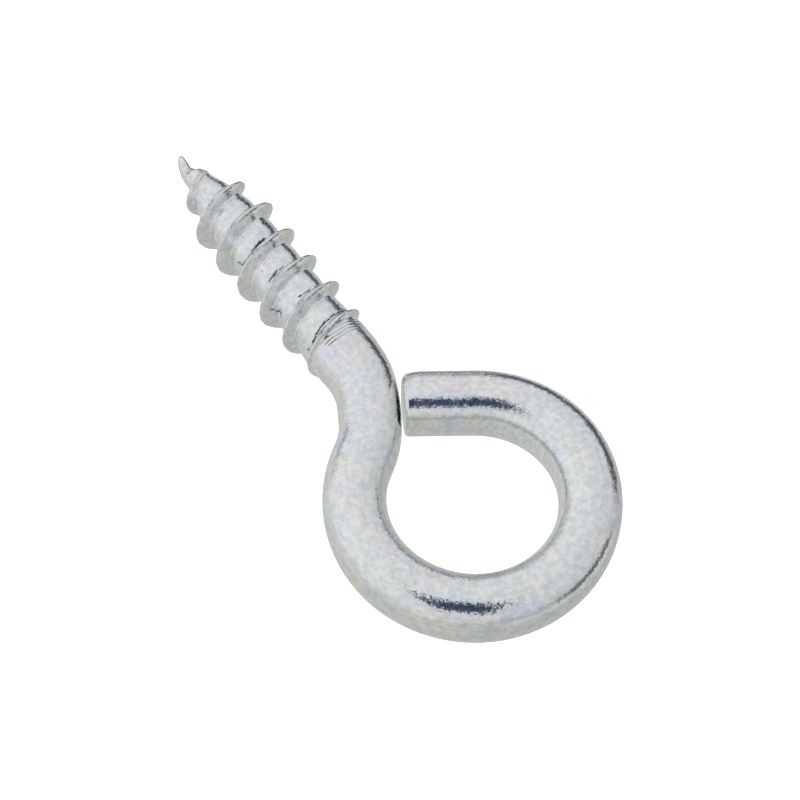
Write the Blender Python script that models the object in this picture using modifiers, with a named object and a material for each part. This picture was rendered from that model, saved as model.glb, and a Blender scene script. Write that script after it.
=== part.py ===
# Screw eye: one length of steel wire, a wood-screw thread rolled on one end
# and the other end bent round into a closed eye, then zinc plated.
# It lies flat: the screw axis runs along +Y with the point at the +Y end,
# the eye lies in the plane of X and Y, and the lowest point is at z = 0.
from math import atan2, cos, hypot, pi, radians, sin, sqrt

import bmesh
import bpy
from mathutils import Vector, kdtree

MM = 0.001

# wire
WIRE_R = 2.85 * MM              # round wire, half its diameter
EYE_SQUEEZE = 0.22 * MM         # how far the bending die presses the eye's inner and outer walls
EYE_SPREAD = 0.02 * MM          # how far the pressed wire rises above and below for it
END_SQUEEZE = 0.32 * MM         # the sheared end is pressed in a little more
END_FLATTENING = 0.05 * MM      # and is this much flatter above and below
ROUND = 2.0                     # exponent of a section's outline: 2 is an ellipse,
PRESSED_SQUARENESS = 2.6        # and the pressed wire is a little squarer
END_EDGE = 0.18 * MM            # rounded rim of the sheared end

# eye and neck, in plan, from the centre of the eye's main bend
EYE_INSIDE_R = 6.94 * MM        # main bend, to the inside of the wire
CLOSING_INSIDE_R = 6.33 * MM    # tighter bend that closes the eye
CLOSING_START = radians(-33)    # where the tighter bend takes over, counted from +X
END_HEADING = radians(145)      # direction of the straight end, counted from +X
END_GAP = 0.15 * MM             # sheared end to neck, where they are closest
NECK_INSIDE_R = 6.06 * MM       # bend from the screw into the eye, to the inside of the wire
SCREW_OFFSET = -0.42 * MM       # the screw axis stands this far off the eye's centre

# screw
SCREW_LENGTH = 25.0 * MM        # from the end of the neck bend to the tip
POINT_LENGTH = 8.9 * MM         # tapered gimlet point
POINT_POWER = 1.3               # how full the taper is: 1 is a cone
TIP_R = 0.12 * MM
ROOT_DEPTH = 0.38 * MM          # how far the thread's roots are rolled into the wire
ROOT_START = 1.7 * MM           # plain wire kept above the neck, before the roots begin
ROOT_RAMP = 3.3 * MM            # length over which the roots reach their full depth
CREST_RISE = 0.70 * MM          # how far the ridges are raised above the wire
CREST_RAMP = 5.6 * MM           # length over which the crests reach their full height
PITCH = 3.14 * MM
RIDGE_START = 0.3 * MM          # first trace of the ridge, above the neck bend
CREST_PHASE = radians(86)       # where the first ridge starts, turned from +Z towards +X
RIDGE_END = 0.78                # share of the point's length that the ridge reaches
TOOTH_FOOT = 0.95 * MM          # half width where the ridge is rooted
TOOTH = ((0.44 * MM, 0.72), (0.20 * MM, 1.0))  # half widths, and their share of the height
TOOTH_SINK = 0.30 * MM          # how deep the ridge is rooted in the screw
RIDGE_DIP = 0.08 * MM           # how far below the surface the ridge starts and ends
CORE_OVERLAP = 0.6 * MM         # how far the turned screw reaches into the wire

# fineness of the solids
WIRE_BEVEL_STEPS = 10           # bevel resolution: 24 sides round the wire
BEND_STEP = radians(6)
SCREW_STEPS = 24                # sides round the turned core, and ridge steps per turn
POINT_ROWS = 9
WELD = 0.001 * MM               # points nearer than this are one
JOINED_WELD = 0.003 * MM        # the same, along the seams of joined solids
SHARP_ANGLE = radians(40)

STEEL_COLOUR = (0.78, 0.79, 0.80, 1.0)


def clear_scene():
    for old in list(bpy.data.objects):
        bpy.data.objects.remove(old)


def make_collection(name):
    group = bpy.data.collections.new(name)
    bpy.context.scene.collection.children.link(group)
    return group


def plated_steel():
    material = bpy.data.materials.new("zinc_plated_steel")
    material.use_nodes = True
    shader = material.node_tree.nodes["Principled BSDF"]
    shader.inputs["Base Color"].default_value = STEEL_COLOUR
    shader.inputs["Metallic"].default_value = 1.0
    shader.inputs["Roughness"].default_value = 0.35
    return material


def blend(start, end, share):
    """Straight mix of two values, with share held between 0 and 1."""
    share = max(0.0, min(1.0, share))
    return start + (end - start) * share


# section and plan of the bends

EYE_HALF_WIDTH = WIRE_R - EYE_SQUEEZE
EYE_HALF_HEIGHT = WIRE_R + EYE_SPREAD
END_HALF_WIDTH = WIRE_R - END_SQUEEZE
END_HALF_HEIGHT = WIRE_R - END_FLATTENING
ROOT_R = WIRE_R - ROOT_DEPTH
CREST_R = WIRE_R + CREST_RISE
EYE_R = EYE_INSIDE_R + EYE_HALF_WIDTH
CLOSING_R = CLOSING_INSIDE_R + EYE_HALF_WIDTH
NECK_R = NECK_INSIDE_R + WIRE_R
NECK_X = SCREW_OFFSET - NECK_R
NECK_Y = sqrt((EYE_R + NECK_R) ** 2 - NECK_X ** 2)
NECK_ANGLE = atan2(NECK_Y, -NECK_X)
SCREW_TOP = NECK_Y + SCREW_LENGTH


def station(x, y, heading, half_width, half_height, squareness):
    """One section of the wire: its centre, the way it runs and its half sizes."""
    return {
        "centre": Vector((x, y, 0.0)),
        "forward": Vector((cos(heading), sin(heading), 0.0)),
        "side": Vector((sin(heading), -cos(heading), 0.0)),
        "half_width": half_width,
        "half_height": half_height,
        "squareness": squareness,
    }


def arc(centre_x, centre_y, radius, start, end, turn):
    """Points, headings and shares along an arc, after its first point; turn is 1 or -1."""
    count = max(2, round(abs(end - start) / BEND_STEP))
    for i in range(1, count + 1):
        angle = start + (end - start) * i / count
        x = centre_x + radius * cos(angle)
        y = centre_y + radius * sin(angle)
        yield x, y, angle + turn * pi / 2, i / count


def closing_centre():
    """The tighter bend starts on the main bend, in line with it."""
    shift = EYE_R - CLOSING_R
    return shift * cos(CLOSING_START), shift * sin(CLOSING_START)


def straight_end_length(x, y):
    """How far the wire runs on from x, y before its sheared end comes up to the neck's wall."""
    reach = NECK_R + (WIRE_R + EYE_HALF_WIDTH) / 2 + END_GAP
    corner_x = x - END_HALF_WIDTH * sin(END_HEADING) - NECK_X
    corner_y = y + END_HALF_WIDTH * cos(END_HEADING) - NECK_Y
    along = corner_x * cos(END_HEADING) + corner_y * sin(END_HEADING)
    across = corner_x ** 2 + corner_y ** 2 - reach ** 2
    return -along - sqrt(along ** 2 - across)


def wire_stations():
    """Sections of the whole wire, from the screw's roots round to the sheared end."""
    down = -pi / 2
    stations = []
    for y in (NECK_Y + ROOT_START, NECK_Y):
        stations.append(station(SCREW_OFFSET, y, down, WIRE_R, WIRE_R, ROUND))
    for x, y, heading, share in arc(NECK_X, NECK_Y, NECK_R, 0.0, -NECK_ANGLE, -1):
        width = blend(WIRE_R, EYE_HALF_WIDTH, share)
        height = blend(WIRE_R, EYE_HALF_HEIGHT, share)
        squareness = blend(ROUND, PRESSED_SQUARENESS, share)
        stations.append(station(x, y, heading, width, height, squareness))
    pressed = (EYE_HALF_WIDTH, EYE_HALF_HEIGHT, PRESSED_SQUARENESS)
    main_start = pi - NECK_ANGLE
    for x, y, heading, share in arc(0.0, 0.0, EYE_R, main_start, CLOSING_START + 2 * pi, 1):
        stations.append(station(x, y, heading, *pressed))
    centre_x, centre_y = closing_centre()
    closing_end = END_HEADING - pi / 2
    for x, y, heading, share in arc(centre_x, centre_y, CLOSING_R, CLOSING_START, closing_end, 1):
        width = blend(EYE_HALF_WIDTH, END_HALF_WIDTH, 2 * share - 1)
        height = blend(EYE_HALF_HEIGHT, END_HALF_HEIGHT, 2 * share - 1)
        stations.append(station(x, y, heading, width, height, PRESSED_SQUARENESS))
    length = straight_end_length(x, y)
    for run, trim in ((length / 2, 0.0), (length - END_EDGE, 0.0), (length, END_EDGE)):
        stations.append(station(
            x + run * cos(END_HEADING), y + run * sin(END_HEADING), END_HEADING,
            END_HALF_WIDTH - trim, END_HALF_HEIGHT - trim, PRESSED_SQUARENESS))
    return stations


def to_mesh_object(source, name, group):
    """The evaluated object as a plain mesh with its loose caps welded; its source is removed."""
    bpy.context.view_layer.update()
    evaluated = source.evaluated_get(bpy.context.evaluated_depsgraph_get())
    mesh = bpy.data.meshes.new_from_object(evaluated)
    bm = bmesh.new()
    bm.from_mesh(mesh)
    bmesh.ops.remove_doubles(bm, verts=bm.verts, dist=WELD)
    bmesh.ops.holes_fill(bm, edges=[e for e in bm.edges if e.is_boundary])
    bmesh.ops.recalc_face_normals(bm, faces=bm.faces)
    bm.to_mesh(mesh)
    bm.free()
    place = source.matrix_world.copy()
    bpy.data.objects.remove(source)
    made = bpy.data.objects.new(name, mesh)
    made.matrix_world = place
    group.objects.link(made)
    return made


def press(mesh, stations):
    """Moves each point of the round wire out or in, to its own section's pressed outline."""
    tree = kdtree.KDTree(len(stations))
    for index, place in enumerate(stations):
        tree.insert(place["centre"], index)
    tree.balance()
    for vertex in mesh.vertices:
        near = [stations[index] for _, index, _ in tree.find_range(vertex.co, WIRE_R * 1.1)]
        place = min(near, key=lambda s: abs((vertex.co - s["centre"]).dot(s["forward"])))
        across = (vertex.co - place["centre"]).dot(place["side"])
        angle = atan2(vertex.co.z, across)
        power = place["squareness"]
        width_part = (abs(cos(angle)) / place["half_width"]) ** power
        height_part = (abs(sin(angle)) / place["half_height"]) ** power
        reach = (width_part + height_part) ** (-1.0 / power)
        vertex.co = place["centre"] + place["side"] * reach * cos(angle)
        vertex.co.z = reach * sin(angle)


def make_wire(group):
    """Shank, neck and eye: a bent tube, then pressed as the bending die presses the wire."""
    stations = wire_stations()
    curve = bpy.data.curves.new("bent_wire", "CURVE")
    curve.dimensions = "3D"
    curve.bevel_depth = WIRE_R
    curve.bevel_resolution = WIRE_BEVEL_STEPS
    curve.use_fill_caps = True
    spline = curve.splines.new("POLY")
    spline.points.add(len(stations) - 1)
    for point, place in zip(spline.points, stations):
        point.co = (*place["centre"], 1.0)
    source = bpy.data.objects.new("bent_wire", curve)
    group.objects.link(source)
    wire = to_mesh_object(source, "screw_eye", group)
    press(wire.data, stations)
    return wire


# screw


def root_radius(y):
    """Radius of the screw between its ridges, at a height along the axis."""
    rolled = blend(WIRE_R, ROOT_R, (y - NECK_Y - ROOT_START + CORE_OVERLAP) / ROOT_RAMP)
    share = (y - (SCREW_TOP - POINT_LENGTH)) / POINT_LENGTH
    if share <= 0.0:
        return rolled
    return TIP_R + (rolled - TIP_R) * (1.0 - min(1.0, share) ** POINT_POWER)


def crest_radius(y):
    """Radius of the ridge's crest: it rises out of the wire and sinks away along the point."""
    share = (y - (SCREW_TOP - POINT_LENGTH)) / POINT_LENGTH
    if share <= 0.0:
        return blend(WIRE_R - RIDGE_DIP, CREST_R, (y - NECK_Y) / CREST_RAMP)
    fade = min(1.0, share / RIDGE_END) ** 2
    return root_radius(y) + blend(CREST_R - ROOT_R, -RIDGE_DIP, fade)


def spin_profile(name, points, closed, turn, rise, steps, group):
    """A profile in the plane of Y and Z, screwed about the Y axis."""
    mesh = bpy.data.meshes.new(name)
    count = len(points)
    edges = [(i, i + 1) for i in range(count - 1)]
    if closed:
        edges.append((count - 1, 0))
    mesh.from_pydata([(0.0, y, z) for y, z in points], edges, [])
    made = bpy.data.objects.new(name, mesh)
    group.objects.link(made)
    screw = made.modifiers.new("screw", "SCREW")
    screw.axis = "Y"
    screw.angle = turn
    screw.screw_offset = rise
    screw.steps = steps
    screw.render_steps = steps
    screw.use_merge_vertices = not closed
    screw.merge_threshold = WELD
    return made


def make_core(group):
    """The turned body of the screw: run-in from the wire, straight roots and the gimlet point."""
    low = NECK_Y + ROOT_START - CORE_OVERLAP
    point_start = SCREW_TOP - POINT_LENGTH
    heights = [low + ROOT_RAMP]
    heights += [point_start + POINT_LENGTH * i / POINT_ROWS for i in range(POINT_ROWS + 1)]
    outline = [(low, 0.0), (low, WIRE_R - RIDGE_DIP)]
    outline += [(y, root_radius(y)) for y in heights]
    outline.append((SCREW_TOP, 0.0))
    source = spin_profile("screw_core", outline, False, 2 * pi, 0.0, SCREW_STEPS, group)
    core = to_mesh_object(source, "screw_core", group)
    core.location.x = SCREW_OFFSET
    return core


def make_ridge(group):
    """The thread: a rounded tooth, screwed right-handed about the axis, then drawn to its outline."""
    start = NECK_Y + RIDGE_START
    end = SCREW_TOP - POINT_LENGTH * (1.0 - RIDGE_END)
    turns = (end - start) / PITCH
    shares = [(-half, share) for half, share in TOOTH]
    shares += [(half, share) for half, share in reversed(TOOTH)]
    profile = [(y, ROOT_R + share * (CREST_R - ROOT_R)) for y, share in shares]
    profile += [(TOOTH_FOOT, ROOT_R - TOOTH_SINK), (-TOOTH_FOOT, ROOT_R - TOOTH_SINK)]
    steps = round(turns * SCREW_STEPS)
    source = spin_profile("thread_ridge", profile, True, turns * 2 * pi, turns * PITCH, steps, group)
    ridge = to_mesh_object(source, "thread_ridge", group)
    for vertex in ridge.data.vertices:
        height = hypot(vertex.co.x, vertex.co.z) - ROOT_R
        y = vertex.co.y + start
        foot_r = root_radius(y)
        if height < -TOOTH_SINK / 2:
            reach = foot_r - TOOTH_SINK
        else:
            reach = foot_r + height / (CREST_R - ROOT_R) * (crest_radius(y) - foot_r)
        angle = atan2(vertex.co.x, vertex.co.z) + CREST_PHASE
        vertex.co = (reach * sin(angle), y, reach * cos(angle))
    ridge.location.x = SCREW_OFFSET
    return ridge


def join_into(body, added, cutters):
    """Boolean union of the added solid into the body."""
    cutters.objects.link(added)
    for group in list(added.users_collection):
        if group != cutters:
            group.objects.unlink(added)
    added.hide_render = True
    added.display_type = "WIRE"
    union = body.modifiers.new("join_" + added.name, "BOOLEAN")
    union.operation = "UNION"
    union.solver = "EXACT"
    union.object = added


def settle(body):
    """Bakes the unions, centres the piece over the origin and rests its lowest point at z = 0."""
    bpy.context.view_layer.update()
    evaluated = body.evaluated_get(bpy.context.evaluated_depsgraph_get())
    mesh = bpy.data.meshes.new_from_object(evaluated)
    bm = bmesh.new()
    bm.from_mesh(mesh)
    bmesh.ops.remove_doubles(bm, verts=bm.verts, dist=JOINED_WELD)
    bmesh.ops.dissolve_degenerate(bm, edges=bm.edges, dist=JOINED_WELD)
    bmesh.ops.triangulate(bm, faces=bm.faces)
    lows = [min(v.co[axis] for v in bm.verts) for axis in range(3)]
    highs = [max(v.co[axis] for v in bm.verts) for axis in range(3)]
    shift = Vector((-(lows[0] + highs[0]) / 2, -(lows[1] + highs[1]) / 2, -lows[2]))
    bmesh.ops.translate(bm, verts=bm.verts, vec=shift)
    bm.to_mesh(mesh)
    bm.free()
    body.modifiers.clear()
    body.data = mesh
    body.name = "screw_eye"
    mesh.shade_smooth()
    mesh.set_sharp_from_angle(angle=SHARP_ANGLE)
    mesh.materials.clear()
    mesh.materials.append(plated_steel())


clear_scene()
parts = make_collection("screw_eye_part")
cutters = make_collection("joined_solids")
wire = make_wire(parts)
join_into(wire, make_core(parts), cutters)
join_into(wire, make_ridge(parts), cutters)
settle(wire)
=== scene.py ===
import math

import bmesh
import bpy
import numpy as np
from mathutils import Matrix, Vector, noise


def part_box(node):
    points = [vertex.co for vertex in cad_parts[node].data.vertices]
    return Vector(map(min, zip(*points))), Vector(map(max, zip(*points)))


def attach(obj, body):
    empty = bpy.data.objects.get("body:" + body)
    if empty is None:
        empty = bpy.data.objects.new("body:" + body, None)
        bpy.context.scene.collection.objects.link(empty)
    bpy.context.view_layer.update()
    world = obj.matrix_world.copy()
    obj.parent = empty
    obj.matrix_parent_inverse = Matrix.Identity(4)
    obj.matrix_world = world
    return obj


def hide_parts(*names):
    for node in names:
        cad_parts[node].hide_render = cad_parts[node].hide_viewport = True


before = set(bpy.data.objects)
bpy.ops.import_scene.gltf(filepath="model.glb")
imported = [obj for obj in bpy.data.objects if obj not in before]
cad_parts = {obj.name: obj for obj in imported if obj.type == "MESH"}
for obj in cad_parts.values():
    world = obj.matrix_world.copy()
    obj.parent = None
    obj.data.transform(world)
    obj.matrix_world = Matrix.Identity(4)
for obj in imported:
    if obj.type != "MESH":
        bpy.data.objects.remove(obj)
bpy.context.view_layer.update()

mm = 0.001
cadNode = "screw_eye"


# small helpers

def ease(low, high, value):
    share = np.clip((value - low) / (high - low), 0.0, 1.0)
    return share * share * (3.0 - 2.0 * share)


def directionTo(azimuth, elevation):
    # azimuth from -Y towards +X
    return Vector((math.sin(azimuth) * math.cos(elevation), -math.cos(azimuth) * math.cos(elevation),
                   math.sin(elevation)))


def linearColour(hexValue):
    channels = [int(hexValue[i:i + 2], 16) / 255 for i in (1, 3, 5)]
    return [c / 12.92 if c <= 0.04045 else ((c + 0.055) / 1.055) ** 2.4 for c in channels] + [1.0]


def waver(points, size, shift=0.0):
    # smooth unevenness at each point, from -1 to 1, about one bump for each size
    offset = Vector((shift, shift * 0.7, shift * 1.3))
    return np.array([noise.noise(Vector(point) / size + offset) for point in points])


def applyModifier(piece, modifier):
    bpy.context.view_layer.objects.active = piece
    bpy.ops.object.modifier_apply(modifier=modifier.name)


# the path that the wire is bent to, in plan

bends = {
    "wireRadius": 2.85 * mm,
    "eyeHalfWidth": 2.63 * mm,       # the die presses the inner and outer walls nearly flat
    "innerEdge": 0.32 * mm,          # softness of the pressed walls' edges
    "outerEdge": 0.30 * mm,
    "eyeHalfHeight": 2.87 * mm,
    "endHalfWidth": 2.53 * mm,
    "eyeInside": 6.94 * mm,          # main bend, to the inside of the wire
    "closingInside": 6.33 * mm,      # tighter bend that closes the eye
    "closingStart": math.radians(-33),
    "endHeading": math.radians(145),
    "endGap": -0.03 * mm,            # to the neck before its dent is pressed in
    "neckInside": 6.06 * mm,
    "neckDent": 0.25 * mm,           # the neck gives a little where the eye closes on it
    "dentPlace": -5.0 * mm,
    "dentLength": 2.5 * mm,
    "screwOffset": -0.42 * mm,       # the screw axis stands this far off the eye's centre
    "screwLength": 25.0 * mm,
    "roundUntil": 1.5 * mm,          # the section turns from round to pressed between these places
    "pressedFrom": -4.0 * mm,
    "endNarrowing": (14 * mm, 4 * mm),   # and narrows to the sheared end between these
    "endFlattening": 0.07 * mm,
    "edgeWave": 6 * mm,              # the pressed edges' softness varies over this length
    "edgeVariation": 0.15,
    "topFullness": 0.8,              # share of the pressed width kept at the middle height
}

wireRadius = bends["wireRadius"]
eyeRadius = bends["eyeInside"] + bends["eyeHalfWidth"]
closingRadius = bends["closingInside"] + bends["eyeHalfWidth"]
neckRadius = bends["neckInside"] + wireRadius
neckX = bends["screwOffset"] - neckRadius
neckY = math.sqrt((eyeRadius + neckRadius) ** 2 - neckX ** 2)
neckAngle = math.atan2(neckY, -neckX)
tipY = neckY + bends["screwLength"]

# the eye's centre and the wire's mid height, found on the CAD node
nodeLow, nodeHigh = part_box(cadNode)
eyeOuter = eyeRadius + bends["eyeHalfWidth"]
nodePoints = [v.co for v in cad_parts[cadNode].data.vertices]
eyeHeights = [p.z for p in nodePoints if p.y < nodeLow.y + eyeOuter]
eyeCentre = Vector((nodeLow.x + eyeOuter, nodeHigh.y - tipY, (min(eyeHeights) + max(eyeHeights)) / 2))


def straightEnd(x, y):
    # how far the wire runs on from x, y before its sheared end comes up to the neck
    heading = bends["endHeading"]
    reach = neckRadius + bends["eyeHalfWidth"] + bends["endGap"]
    cornerX = x - bends["endHalfWidth"] * math.sin(heading) - neckX
    cornerY = y + bends["endHalfWidth"] * math.cos(heading) - neckY
    along = cornerX * math.cos(heading) + cornerY * math.sin(heading)
    across = cornerX ** 2 + cornerY ** 2 - reach ** 2
    return -along - math.sqrt(along ** 2 - across)


def arcPoints(centreX, centreY, radius, start, end, count):
    for i in range(1, count + 1):
        angle = start + (end - start) * i / count
        yield centreX + radius * math.cos(angle), centreY + radius * math.sin(angle)


def wirePath():
    # from the tip of the screw down to the neck, round the eye and out to the sheared end
    step = 0.2 * mm
    points = [(bends["screwOffset"], tipY), (bends["screwOffset"], neckY)]
    points += arcPoints(neckX, neckY, neckRadius, 0.0, -neckAngle, round(neckRadius * neckAngle / step))
    start, end = math.pi - neckAngle, bends["closingStart"] + 2 * math.pi
    points += arcPoints(0.0, 0.0, eyeRadius, start, end, round(eyeRadius * (end - start) / step))
    shift = eyeRadius - closingRadius
    centreX = shift * math.cos(bends["closingStart"])
    centreY = shift * math.sin(bends["closingStart"])
    start, end = bends["closingStart"], bends["endHeading"] - math.pi / 2
    points += arcPoints(centreX, centreY, closingRadius, start, end, round(closingRadius * (end - start) / step))
    x, y = points[-1]
    run = straightEnd(x, y)
    heading = bends["endHeading"]
    points.append((x + run * math.cos(heading), y + run * math.sin(heading)))
    return [Vector((px, py, 0.0)) + eyeCentre for px, py in reversed(points)]


path = wirePath()
wireLength = sum((b - a).length for a, b in zip(path, path[1:]))
neckRun = wireLength - bends["screwLength"]     # along the straight wire, from the sheared end to the neck
print("wire length in mm:", round(wireLength / mm, 2))


# the straight wire: drawn, cut to length, then rolled

bar = {
    "sides": 128,
    "endZone": 1.8 * mm,     # finely divided for the sheared rim
    "endRows": 36,
    "bentRows": 59,          # rows in each half of the plain wire
    "screwRows": 119,        # rows in each quarter of the screw
    "capRings": 8,
}


def cutAcross(piece, lowY, highY, cuts):
    # cuts all edges that run along the wire between the two places
    bpy.ops.mesh.select_mode(type="EDGE")
    bpy.ops.mesh.select_all(action="DESELECT")
    form = bmesh.from_edit_mesh(piece.data)
    slack = 1e-6
    for edge in form.edges:
        ys = sorted(v.co.y for v in edge.verts)
        edge.select = ys[1] - ys[0] > slack and ys[0] > lowY - slack and ys[1] < highY + slack
    bmesh.update_edit_mesh(piece.data)
    bpy.ops.mesh.subdivide(number_cuts=cuts)


def capRing(piece, y):
    # selects the ring of points at this place
    bpy.ops.mesh.select_mode(type="VERT")
    bpy.ops.mesh.select_all(action="DESELECT")
    form = bmesh.from_edit_mesh(piece.data)
    for vertex in form.verts:
        vertex.select = abs(vertex.co.y - y) < 1e-7
    form.select_flush_mode()
    bmesh.update_edit_mesh(piece.data)


def drawStraightWire():
    bpy.ops.object.select_all(action="DESELECT")
    bpy.ops.mesh.primitive_circle_add(
        vertices=bar["sides"], radius=wireRadius, fill_type="NOTHING", rotation=(math.pi / 2, 0, 0))
    piece = bpy.context.active_object
    piece.name = "zincPlatedScrewEye"
    bpy.ops.object.transform_apply(location=True, rotation=True, scale=True)
    bpy.ops.object.mode_set(mode="EDIT")
    bpy.ops.mesh.select_all(action="SELECT")
    middle = (bar["endZone"] + neckRun) / 2
    quarter = bends["screwLength"] / 4
    marks = [0.0, bar["endZone"], middle, neckRun] + [neckRun + quarter * i for i in range(1, 5)]
    for low, high in zip(marks, marks[1:]):
        bpy.ops.mesh.extrude_region_move(TRANSFORM_OT_translate={"value": (0, high - low, 0)})
    cutAcross(piece, marks[0], marks[1], bar["endRows"])
    for low, high in zip(marks[1:3], marks[2:4]):
        cutAcross(piece, low, high, bar["bentRows"])
    for low, high in zip(marks[3:], marks[4:]):
        cutAcross(piece, low, high, bar["screwRows"])
    for y, centre in ((0.0, (0, 0, 0)), (wireLength, (0, wireLength, 0))):
        capRing(piece, y)
        rings = bar["capRings"] if y == 0.0 else 1
        for i in range(rings, 1, -1):
            bpy.ops.mesh.extrude_region_move()
            bpy.ops.transform.resize(value=((i - 1) / i,) * 3, center_override=centre)
        bpy.ops.mesh.extrude_region_move()
        bpy.ops.mesh.merge(type="CENTER")
    bpy.ops.mesh.select_all(action="SELECT")
    bpy.ops.mesh.normals_make_consistent(inside=False)
    bpy.ops.object.mode_set(mode="OBJECT")
    return piece


# rolling the screw presses the roots in and raises the ridges, out to the gimlet point

screw = {
    "pitch": 3.14 * mm,
    "crestPlace": 3.31 * mm,             # height of a crest above the neck, at the angle crestTurn
    "crestTurn": math.radians(71.5),     # from +Z towards +X, right-handed
    "flankSlope": 2.5,                   # the ridge's fall for each mm from its crest
    "crestRound": 0.22 * mm,
    "footRound": 0.13 * mm,
    "burr": 0.05 * mm,                   # unevenness of the rolled crest
    "sway": 0.05 * mm,                   # how far the ridge strays from its helix
    "barrel": 0.06 * mm,                 # hollow of the lands between the ridges
    "barrelStart": (4 * mm, 6 * mm),
    "barrelEnd": (21 * mm, 17 * mm),
    "takeOver": 0.6 * mm,                # length over which the wire passes into the rolled screw
}

# heights above the neck, and radii there, in mm
rootLine = [(0.0, 2.85), (2.2, 2.85), (3.4, 2.70), (5.2, 2.50), (10.0, 2.46), (15.5, 2.43), (18.2, 2.14),
            (20.2, 1.66), (21.4, 1.24), (22.2, 1.04), (22.6, 0.97), (23.0, 0.72), (23.4, 0.58), (24.2, 0.45),
            (24.7, 0.31), (24.9, 0.18), (25.0, 0.03)]
crestLine = [(0.0, 2.85), (0.6, 2.98), (1.8, 3.13), (3.2, 3.30), (4.8, 3.44), (6.5, 3.50), (15.8, 3.51),
             (17.4, 3.38), (19.1, 2.84), (20.6, 2.27), (21.6, 1.50), (22.2, 1.02), (22.8, 0.5), (23.4, -0.5),
             (25.5, -3.0)]
# how far the bent nose of the gimlet point stands to the right of the axis
noseLine = [(22.0, 0.0), (22.6, -0.08), (23.0, -0.26), (23.4, -0.34), (24.2, -0.14), (25.0, 0.12)]

# seams where the rolled metal lapped over, and scratches: angles in degrees, heights above the neck in mm
seams = [
    {"line": [(-62, 12.42), (-44, 12.40), (-26, 12.50), (-10, 12.68), (8, 12.92)], "half": 0.075, "deep": 0.16},
    {"line": [(-18, 12.62), (-10, 12.72), (-2, 12.86)], "half": 0.11, "deep": 0.12},
    {"line": [(-69, 13.02), (-66, 12.90), (-63, 12.66), (-65, 12.54)], "half": 0.06, "deep": 0.08, "jagged": 0.10},
    {"line": [(-41, 9.50), (-27, 9.58), (-14, 9.70)], "half": 0.05, "deep": 0.10},
    {"line": [(-9, 9.68), (2, 9.76)], "half": 0.04, "deep": 0.06},
    {"line": [(-15, 6.60), (-8, 6.57)], "half": 0.05, "deep": 0.08},
    {"line": [(-3, 6.60), (13, 6.66)], "half": 0.045, "deep": 0.08},
    {"line": [(-76, 7.75), (-74, 7.42), (-68, 7.22), (-63, 7.02), (-65, 6.80), (-70, 6.66)],
     "half": 0.065, "deep": 0.10, "jagged": 0.12},
    {"line": [(-50, 2.62), (-33, 2.92), (-20, 3.17), (-2, 3.33), (17, 3.50), (50, 3.60)],
     "half": 0.06, "deep": 0.12, "jagged": 0.12},
    {"line": [(-66, 2.75), (-63, 2.55)], "half": 0.06, "deep": 0.08, "jagged": 0.05},
    {"line": [(-38, 10.62), (-37, 10.60)], "half": 0.06, "deep": 0.05},
    {"line": [(30, 14.2), (33, 14.38), (37, 14.25)], "half": 0.05, "deep": 0.05},
    {"line": [(60, 22.3), (80, 22.5)], "half": 0.06, "deep": -0.12},
]

seamRadius = 2.6 * mm      # turns angles into lengths along the seams

# fine parallel lines left where the last turn of the ridge runs out
runOut = {"low": 1.1, "high": 2.7, "from": -48, "to": 100, "apart": 0.30, "deep": 0.045, "lean": 0.025}


def alongLine(line, heights):
    return np.interp(heights / mm, [place for place, _ in line], [size for _, size in line]) * mm


def smoothMax(first, second, width):
    return (first + second + np.sqrt((first - second) ** 2 + width ** 2)) / 2


def cutSeams(place, turn):
    # depth of the seams at each point in m, and how dark their painted shade is, from 0 to 1
    depth = np.zeros(len(place))
    shade = np.zeros(len(place))
    helix = np.column_stack([3 * np.cos(turn), place / mm, 3 * np.sin(turn)])
    ragged = waver(helix, 0.22, 4.0)
    for seam in seams:
        for (turnA, placeA), (turnB, placeB) in zip(seam["line"], seam["line"][1:]):
            offset = (turn - math.radians(turnA) + math.pi) % (2 * math.pi) - math.pi
            u = offset * seamRadius
            v = place - placeA * mm + ragged * seam.get("jagged", 0.02) * mm
            du = math.radians(turnB - turnA) * seamRadius
            dv = (placeB - placeA) * mm
            t = np.clip((u * du + v * dv) / (du * du + dv * dv), 0.0, 1.0)
            distance = np.hypot(u - t * du, v - t * dv) / (seam["half"] * mm)
            cut = np.exp(-distance ** 2)
            depth = np.where(np.abs(seam["deep"] * mm * cut) > np.abs(depth), seam["deep"] * mm * cut, depth)
            # painted shade along the cut seams, for the shade down in their crevices
            if seam["deep"] > 0:
                shade = np.maximum(shade, ease(0.25, 0.7, cut))
    return depth, shade


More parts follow.
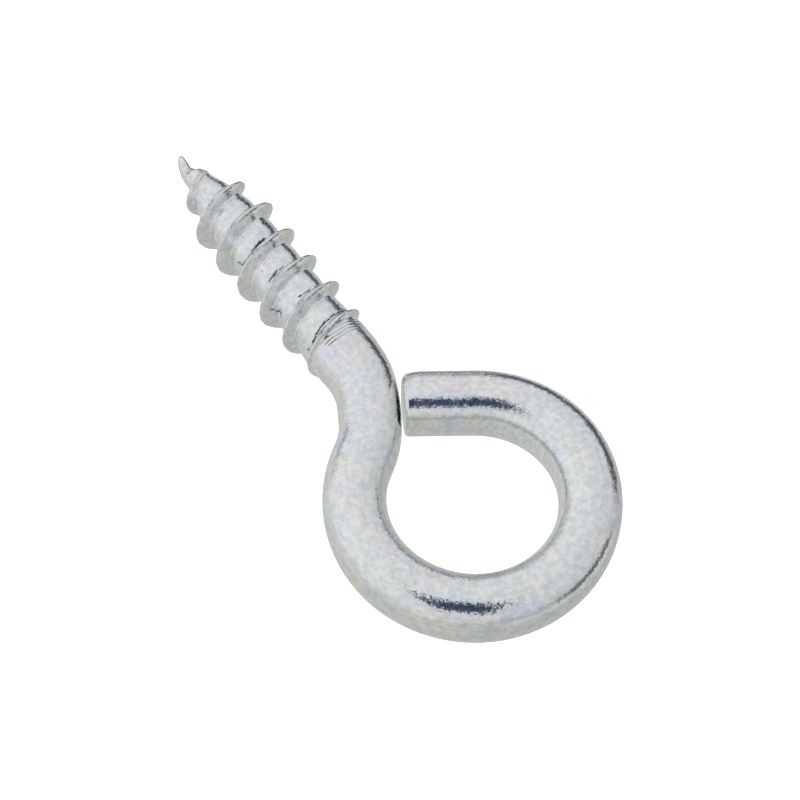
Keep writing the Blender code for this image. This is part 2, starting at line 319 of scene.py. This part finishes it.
def rollScrew(place, turn):
    # radius of the screw at each height above the neck and each angle about its axis, and the painted shade of its
    # seams and run-out furrows
    pitch = screw["pitch"]
    ridge = (place - screw["crestPlace"]) / pitch - (turn - screw["crestTurn"]) / (2 * math.pi)
    nearest = np.round(ridge)
    across = (ridge - nearest) * pitch
    ridgeHeight = place - across
    helix = np.column_stack([3 * np.cos(turn), ridgeHeight / mm, 3 * np.sin(turn)])
    across = across + waver(helix, 2.4, 3.0) * screw["sway"]
    root = alongLine(rootLine, place)
    worn = waver(helix, 1.3, 9.0) + 0.6 * waver(helix, 0.45, 2.0)
    crest = alongLine(crestLine, ridgeHeight) + (worn - 0.3) * screw["burr"]
    hollowed = ease(*screw["barrelStart"], place) * ease(*screw["barrelEnd"], place)
    barrel = screw["barrel"] * np.cos(2 * math.pi * across / pitch) * hollowed
    crestRound = screw["crestRound"] * (1.0 + 0.25 * waver(helix, 1.0, 6.0))
    flank = crest - screw["flankSlope"] * (np.sqrt(across ** 2 + crestRound ** 2) - crestRound)
    radius = smoothMax(root - barrel, flank, screw["footRound"])

    # lines of the run-out, which lean across the ridge
    degrees = np.degrees(turn)
    band = place / mm - runOut["low"] - degrees / 90 * runOut["lean"]
    wide = runOut["high"] - runOut["low"]
    zone = ease(0.0, 0.3, band) * ease(wide, wide - 0.4, band)
    zone = zone * ease(runOut["from"], runOut["from"] + 20, degrees) * ease(runOut["to"], runOut["to"] - 25, degrees)
    wave = np.cos(2 * math.pi * (band + 0.06 * waver(helix, 1.5, 7.0)) / runOut["apart"])
    furrow = zone * np.clip(wave, 0, 1) ** 2
    radius = radius - furrow * runOut["deep"] * mm

    depth, shade = cutSeams(place, turn)
    # painted shade in the seams, and a fainter painted shade in the run-out's furrows
    return radius - depth, np.maximum(shade, 0.35 * ease(0.3, 0.9, furrow))


# the sheared end: a burnished rim all round, rolled over where the blade came down
shear = {
    "rimLength": 0.27 * mm,
    "rimDrop": 0.13 * mm,
    "rollLength": 1.7 * mm,
    "rollDrop": 0.55 * mm,
    "outOfSquare": 0.07,
}


def shapeWire(piece):
    mesh = piece.data
    points = np.empty(len(mesh.vertices) * 3)
    mesh.vertices.foreach_get("co", points)
    points = points.reshape(-1, 3)
    run = points[:, 1].copy()
    turn = np.arctan2(points[:, 0], points[:, 2])
    rho = np.hypot(points[:, 0], points[:, 2]) / wireRadius
    place = run - neckRun

    # section in the eye: round wire with its inner and outer walls pressed
    bent = ease(bends["roundUntil"], bends["pressedFrom"], place)
    narrow = ease(*bends["endNarrowing"], run)
    halfWidth = wireRadius + bent * (bends["eyeHalfWidth"] - wireRadius)
    halfWidth = halfWidth + narrow * (bends["endHalfWidth"] - bends["eyeHalfWidth"])
    halfHeight = wireRadius + bent * (bends["eyeHalfHeight"] - wireRadius)
    halfHeight = halfHeight - narrow * bends["endFlattening"]
    side = np.sin(turn) * halfHeight
    edge = np.where(side > 0, bends["innerEdge"], bends["outerEdge"])
    edge = edge * (1.0 + bends["edgeVariation"] * waver(points, bends["edgeWave"], 2.0))

    def press(reach):
        return halfWidth - edge * np.log1p(np.exp(np.clip((halfWidth - reach) / edge, -40, 40)))

    lost = halfWidth - press(halfHeight)
    pressed = press(np.abs(side)) + bends["topFullness"] * lost * (np.abs(side) / halfHeight) ** 6
    sideways = np.sign(side) * np.maximum(pressed, 0.0)
    upward = np.cos(turn) * halfHeight

    # dent in the neck, then the rolled screw
    fromDent = (place - bends["dentPlace"]) / bends["dentLength"]
    sideways = sideways - bends["neckDent"] * np.exp(-fromDent ** 2)
    radius, shade = rollScrew(place, turn)
    rolled = ease(0.0, screw["takeOver"], place)
    sideways = sideways + rolled * (radius * np.sin(turn) - sideways)
    upward = upward + rolled * (radius * np.cos(turn) - upward)
    lean = alongLine(noseLine, place)
    sideways = sideways * rho + lean * math.sin(screw["crestTurn"])
    upward = upward * rho + lean * math.cos(screw["crestTurn"])

    # sheared end; the blade came down on its outer side
    drag = np.clip(0.5 - 0.6 * np.sin(turn) + 0.15 * np.cos(turn), 0, 1) ** 3
    rim = np.clip(1.0 - run / shear["rimLength"], 0, 1)
    rolledOver = np.clip(1.0 - run / shear["rollLength"], 0, 1)
    fall = shear["rimDrop"] * rim ** 1.2 + shear["rollDrop"] * drag * (1.0 - np.sqrt(1.0 - rolledOver ** 2))
    size = np.hypot(sideways, upward)
    shrink = np.where(place < 0, 1.0 - fall * rho / np.maximum(size, 1e-6), 1.0)
    sideways *= shrink
    upward *= shrink
    run = run + shear["outOfSquare"] * sideways * ease(bar["endZone"], 0.0, run)

    straight = np.column_stack([sideways, run, upward])
    mesh.vertices.foreach_set("co", straight.ravel())
    attribute = mesh.attributes.new("straightPlace", "FLOAT_VECTOR", "POINT")
    attribute.data.foreach_set("vector", straight.ravel())
    # the painted shade of the seams and furrows, for the plating's colour
    attribute = mesh.attributes.new("paintedSeamShade", "FLOAT", "POINT")
    attribute.data.foreach_set("value", np.where(place > 0, shade, 0.0))
    mesh.update()


def bendWire(piece):
    curve = bpy.data.curves.new("bendingPath", "CURVE")
    curve.dimensions = "3D"
    curve.twist_mode = "Z_UP"
    spline = curve.splines.new("POLY")
    spline.points.add(len(path) - 1)
    for point, place in zip(spline.points, path):
        point.co = (*place, 1.0)
        point.tilt = math.radians(90)
    guide = bpy.data.objects.new("bendingPath", curve)
    bpy.context.scene.collection.objects.link(guide)
    bend = piece.modifiers.new("bend", "CURVE")
    bend.object = guide
    bend.deform_axis = "POS_Y"
    applyModifier(piece, bend)
    bpy.data.objects.remove(guide)


# zinc plate

zinc = {
    "plain": "#ECF0F3",
    "films": [("#E7EBF7", 0.0, 3.2), ("#EAF2E9", 31.0, 2.56), ("#F4F1EC", 57.0, 1.92)],   # colour, shift, size in mm
    "filmEdge": (0.42, 0.72),
    "fleckTone": (0.84, 1.06),
    "lineTone": (0.95, 1.03),
    "speckAndShadeColour": "#33363A",            # painted shade in the seams and the run-out's furrows, and faint dark specks
    "pitApart": 1.6,              # mm
    "pitEdge": (0.025, 0.06),
    "pitShade": 0.35,
    "smooth": 0.11,               # roughness between the grains, and on them
    "rough": 0.22,
    "speckAndShadeRough": 0.3,
    "crystal": 0.12,              # mm; real crystals are far finer, and are drawn coarse to show
    "crystalTilt": 0.11,          # how far the plating's crystals lean, against the normal
}

# patterns: size in mm, detail, roughness, and whether drawn out along the wire
grains = {
    "fleck": (0.55, 4.0, 0.65, False),
    "drawnTone": (0.22, 4.0, 0.6, True),
    "dull": (0.3, 3.0, 0.7, False),
    "grit": (0.3, 3.0, 0.6, False),
    "drawnLine": (0.22, 3.0, 0.6, True),
    "dent": (2.2, 1.0, 0.6, False),
}
drawnStretch = (1.0, 0.06, 1.0)
relief = {"grit": 0.010, "drawnLine": 0.006, "dent": 0.03}      # heights in mm

smooth = {"interpolation_type": "SMOOTHSTEP"}


def addNode(tree, kind, settings=None, inputs=(), output=0):
    # inputs are a row of values in socket order, or values by socket; gives the output asked for
    node = tree.nodes.new(kind)
    for name, value in (settings or {}).items():
        setattr(node, name, value)
    for name, value in (inputs if isinstance(inputs, dict) else dict(enumerate(inputs))).items():
        if isinstance(value, bpy.types.NodeSocket):
            tree.links.new(value, node.inputs[name])
        else:
            node.inputs[name].default_value = value
    return node.outputs[output]


def makeZincPlate():
    # bright zinc electroplate with a clear chromate film, on drawn low-carbon steel wire:
    # a silvery satin mirror, faintly lilac and yellow-green, grained by the wire under it
    material = bpy.data.materials.new("brightZincPlate")
    material.use_nodes = True
    tree = material.node_tree
    shader = tree.nodes["Principled BSDF"]
    shader.inputs["Metallic"].default_value = 1.0

    place = addNode(tree, "ShaderNodeAttribute", {"attribute_name": "straightPlace"}, output="Vector")
    inMm = addNode(tree, "ShaderNodeVectorMath", {"operation": "SCALE"}, {0: place, "Scale": 1 / mm})
    drawn = addNode(tree, "ShaderNodeVectorMath", {"operation": "MULTIPLY"}, (inMm, drawnStretch))
    pattern = {}
    for name, (size, detail, roughness, along) in grains.items():
        pattern[name] = addNode(tree, "ShaderNodeTexNoise", None, {
            "Vector": drawn if along else inMm, "Scale": 1 / size, "Detail": detail, "Roughness": roughness})

    # chromate film: patches a few millimetres across
    colour = linearColour(zinc["plain"])
    for film, shift, size in zinc["films"]:
        shifted = addNode(tree, "ShaderNodeVectorMath", {"operation": "ADD"}, (inMm, (shift,) * 3))
        patch = addNode(tree, "ShaderNodeTexNoise", None, {
            "Vector": shifted, "Scale": 1 / size, "Detail": 3.0, "Roughness": 0.6})
        patch = addNode(tree, "ShaderNodeMapRange", smooth, (patch, *zinc["filmEdge"], 0.0, 1.0))
        colour = addNode(tree, "ShaderNodeMix", {"data_type": "RGBA"}, {0: patch, 6: colour, 7: linearColour(film)}, 2)

    # dull and bright flecks of the plating, and the lines of the drawing die
    flecks = addNode(tree, "ShaderNodeMapRange", smooth, (pattern["fleck"], 0.3, 0.7, *zinc["fleckTone"]))
    lines = addNode(tree, "ShaderNodeMapRange", smooth, (pattern["drawnTone"], 0.3, 0.7, *zinc["lineTone"]))
    tone = addNode(tree, "ShaderNodeMath", {"operation": "MULTIPLY"}, (flecks, lines))
    toneColour = addNode(tree, "ShaderNodeCombineColor", None, (tone, tone, tone))
    colour = addNode(tree, "ShaderNodeMix", {"data_type": "RGBA", "blend_type": "MULTIPLY"},
                     {0: 1.0, 6: colour, 7: toneColour}, 2)

    # dark specks, and painted shade in the seams and the run-out's furrows of the rolled screw
    pits = addNode(tree, "ShaderNodeTexVoronoi", None, {"Vector": inMm, "Scale": 1 / zinc["pitApart"]}, "Distance")
    pitMask = addNode(tree, "ShaderNodeMapRange", smooth, (pits, *zinc["pitEdge"], zinc["pitShade"], 0.0))
    seam = addNode(tree, "ShaderNodeAttribute", {"attribute_name": "paintedSeamShade"}, output="Fac")
    speckAndShadeMask = addNode(tree, "ShaderNodeMath", {"operation": "MAXIMUM"}, (pitMask, seam))
    # mixes in the dark colour: painted shade in the seams and furrows, plain dark specks elsewhere
    colour = addNode(tree, "ShaderNodeMix", {"data_type": "RGBA"},
                     {0: speckAndShadeMask, 6: colour, 7: linearColour(zinc["speckAndShadeColour"])}, 2)
    tree.links.new(colour, shader.inputs["Base Color"])

    dull = addNode(tree, "ShaderNodeMapRange", smooth, (pattern["dull"], 0.3, 0.75, zinc["smooth"], zinc["rough"]))
    dull = addNode(tree, "ShaderNodeMath", {"operation": "MULTIPLY_ADD"}, (speckAndShadeMask, zinc["speckAndShadeRough"], dull))
    tree.links.new(dull, shader.inputs["Roughness"])

    # leaning crystals, then grain, drawing lines and soft dents
    cells = addNode(tree, "ShaderNodeTexVoronoi", None, {"Vector": inMm, "Scale": 1 / zinc["crystal"]}, "Color")
    tilt = addNode(tree, "ShaderNodeVectorMath", {"operation": "SUBTRACT"}, (cells, (0.5,) * 3))
    facing = addNode(tree, "ShaderNodeNewGeometry", output="Normal")
    tilted = addNode(tree, "ShaderNodeVectorMath", {"operation": "MULTIPLY_ADD"},
                     (tilt, (zinc["crystalTilt"],) * 3, facing))
    normal = addNode(tree, "ShaderNodeVectorMath", {"operation": "NORMALIZE"}, (tilted,))
    for name, height in relief.items():
        normal = addNode(tree, "ShaderNodeBump", None, {
            "Height": pattern[name], "Strength": 1.0, "Distance": height * mm, "Normal": normal})
    tree.links.new(normal, shader.inputs["Normal"])
    return material


# stage, light and camera

shot = {
    "azimuth": math.radians(-39.5),
    "elevation": math.radians(61.5),
    "roll": math.radians(3.18),
    "place": Vector((-82.41, -90.04, 240.91)) * mm,    # from the eye's centre
    "lens": 150.0,
}


def addCamera():
    camera = bpy.data.cameras.new("camera")
    camera.lens = shot["lens"]
    camera.sensor_width = 36.0
    camera.clip_start = 0.01
    camera.clip_end = 20.0
    holder = bpy.data.objects.new("camera", camera)
    bpy.context.scene.collection.objects.link(holder)
    back = directionTo(shot["azimuth"], shot["elevation"])
    right = Vector((math.cos(shot["azimuth"]), math.sin(shot["azimuth"]), 0.0))
    right = Matrix.Rotation(shot["roll"], 3, back) @ right
    up = back.cross(right)
    turned = Matrix((right, up, back)).transposed().to_4x4()
    holder.matrix_world = Matrix.Translation(eyeCentre + shot["place"]) @ turned
    bpy.context.scene.camera = holder


def addFloor():
    bpy.ops.object.select_all(action="DESELECT")
    bpy.ops.mesh.primitive_plane_add(size=4.0, location=(0, 0, nodeLow.z))
    floor = bpy.context.active_object
    floor.name = "floor"
    material = bpy.data.materials.new("paleFloor")
    material.use_nodes = True
    tree = material.node_tree
    shader = tree.nodes["Principled BSDF"]
    shader.inputs["Base Color"].default_value = linearColour("#FFFFFF")
    shader.inputs["Emission Color"].default_value = linearColour("#FFFFFF")
    shader.inputs["Emission Strength"].default_value = 1.0
    shader.inputs["Roughness"].default_value = 0.9
    shader.inputs["Specular IOR Level"].default_value = 0.0
    material.cycles.emission_sampling = "NONE"
    floor.data.materials.append(material)
    floor.visible_glossy = False      # the metal mirrors the tent alone


# a white light tent: its dark opening for the lens, and a bright card and darker gaps low down, show
# in the metal; angles in degrees, and each patch is (azimuth, half width, elevation, half height, soft
# edge, colour, amount)
tent = {
    "bright": 0.71,
    "brightShare": 0.135,        # brighter towards brightSide, dimmer away from it
    "brightSide": (-145, 35),
    "coolness": 1.025,
    "below": "#F1F2EC",          # the table under it, against the walls
    "tableEdge": (2, -8),
    "opening": (-43, 63),
    "openingRadius": 17.5,
    "openingSoft": 3.5,
    "openingColour": "#2F3D57",
    "patches": [
        (25, 38, -20, 9, 7, "#E6EAE2", 0.65),
        (-20, 26, 3, 4, 4, "#5A6478", 0.30),
        (38, 20, -1, 9, 5, "#3A465C", 0.9),
        (10, 10, 4, 5, 5, "#3A465C", 0.3),
        (110, 30, -3, 12, 4, "#333E52", 0.93),
        (150, 11, -18, 7, 5, "#3A465C", 0.8),
        (160, 20, 4, 5, 4, "#5A6076", 0.55),
        (-172, 11, 2, 7, 4, "#6A6E8C", 0.6),
    ],
}


def lightStage():
    world = bpy.data.worlds.new("lightTent")
    world.use_nodes = True
    tree = world.node_tree
    direction = addNode(tree, "ShaderNodeTexCoord", output="Generated")
    axes = addNode(tree, "ShaderNodeSeparateXYZ", None, (direction,)).node.outputs
    backwards = addNode(tree, "ShaderNodeMath", {"operation": "MULTIPLY"}, (axes["Y"], -1.0))
    azimuth = addNode(tree, "ShaderNodeMath", {"operation": "ARCTAN2"}, (axes["X"], backwards))
    elevation = addNode(tree, "ShaderNodeMath", {"operation": "ARCSINE"}, (axes["Z"],))

    # walls of the tent
    brightSide = directionTo(*map(math.radians, tent["brightSide"]))
    lean = addNode(tree, "ShaderNodeVectorMath", {"operation": "DOT_PRODUCT"}, (direction, brightSide), "Value")
    level = addNode(tree, "ShaderNodeMath", {"operation": "MULTIPLY_ADD"}, (lean, tent["brightShare"], tent["bright"]))
    cool = addNode(tree, "ShaderNodeMath", {"operation": "MULTIPLY"}, (level, tent["coolness"]))
    colour = addNode(tree, "ShaderNodeCombineColor", None, (level, level, cool))

    # the table
    none, full = map(math.radians, tent["tableEdge"])
    amount = addNode(tree, "ShaderNodeMapRange", smooth, (elevation, none, full, 0.0, 1.0))
    colour = addNode(tree, "ShaderNodeMix", {"data_type": "RGBA", "blend_type": "MULTIPLY"},
                     {0: amount, 6: colour, 7: linearColour(tent["below"])}, 2)

    # the opening for the lens
    opening = directionTo(*map(math.radians, tent["opening"]))
    nearness = addNode(tree, "ShaderNodeVectorMath", {"operation": "DOT_PRODUCT"}, (direction, opening), "Value")
    away = addNode(tree, "ShaderNodeMath", {"operation": "ARCCOSINE"}, (nearness,))
    none = math.radians(tent["openingRadius"] + tent["openingSoft"])
    full = math.radians(tent["openingRadius"] - tent["openingSoft"])
    amount = addNode(tree, "ShaderNodeMapRange", smooth, (away, none, full, 0.0, 1.0))
    colour = addNode(tree, "ShaderNodeMix", {"data_type": "RGBA"},
                     {0: amount, 6: colour, 7: linearColour(tent["openingColour"])}, 2)

    # the card and the gaps
    for side, halfWidth, height, halfHeight, soft, patchColour, strength in tent["patches"]:
        turned = addNode(tree, "ShaderNodeMath", {"operation": "SUBTRACT"}, (azimuth, math.radians(side)))
        turned = addNode(tree, "ShaderNodeMath", {"operation": "WRAP"}, (turned, math.pi, -math.pi))
        raised = addNode(tree, "ShaderNodeMath", {"operation": "SUBTRACT"}, (elevation, math.radians(height)))
        amount = strength
        for offset, half in ((turned, halfWidth), (raised, halfHeight)):
            distance = addNode(tree, "ShaderNodeMath", {"operation": "ABSOLUTE"}, (offset,))
            none, full = math.radians(half + soft), math.radians(half - soft)
            share = addNode(tree, "ShaderNodeMapRange", smooth, (distance, none, full, 0.0, 1.0))
            amount = addNode(tree, "ShaderNodeMath", {"operation": "MULTIPLY"}, (share, amount))
        colour = addNode(tree, "ShaderNodeMix", {"data_type": "RGBA"},
                         {0: amount, 6: colour, 7: linearColour(patchColour)}, 2)

    # plain white where the tent itself is in view
    seen = addNode(tree, "ShaderNodeLightPath", output="Is Camera Ray")
    colour = addNode(tree, "ShaderNodeMix", {"data_type": "RGBA"}, {0: seen, 6: colour, 7: (1, 1, 1, 1)}, 2)
    tree.links.new(colour, tree.nodes["Background"].inputs["Color"])
    bpy.context.scene.world = world
    bpy.context.scene.view_settings.view_transform = "Standard"


screwEye = drawStraightWire()
print("straight wire:", len(screwEye.data.vertices), "points")
shapeWire(screwEye)
print("screw rolled, end sheared")
bendWire(screwEye)
print("eye bent")
bpy.ops.object.select_all(action="DESELECT")
screwEye.select_set(True)
bpy.context.view_layer.objects.active = screwEye
bpy.ops.object.shade_smooth_by_angle(angle=math.radians(35))
screwEye.data.materials.append(makeZincPlate())
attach(screwEye, "root")
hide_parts(cadNode)
print("plated")
addCamera()
addFloor()
lightStage()
print("camera, floor and light tent set")
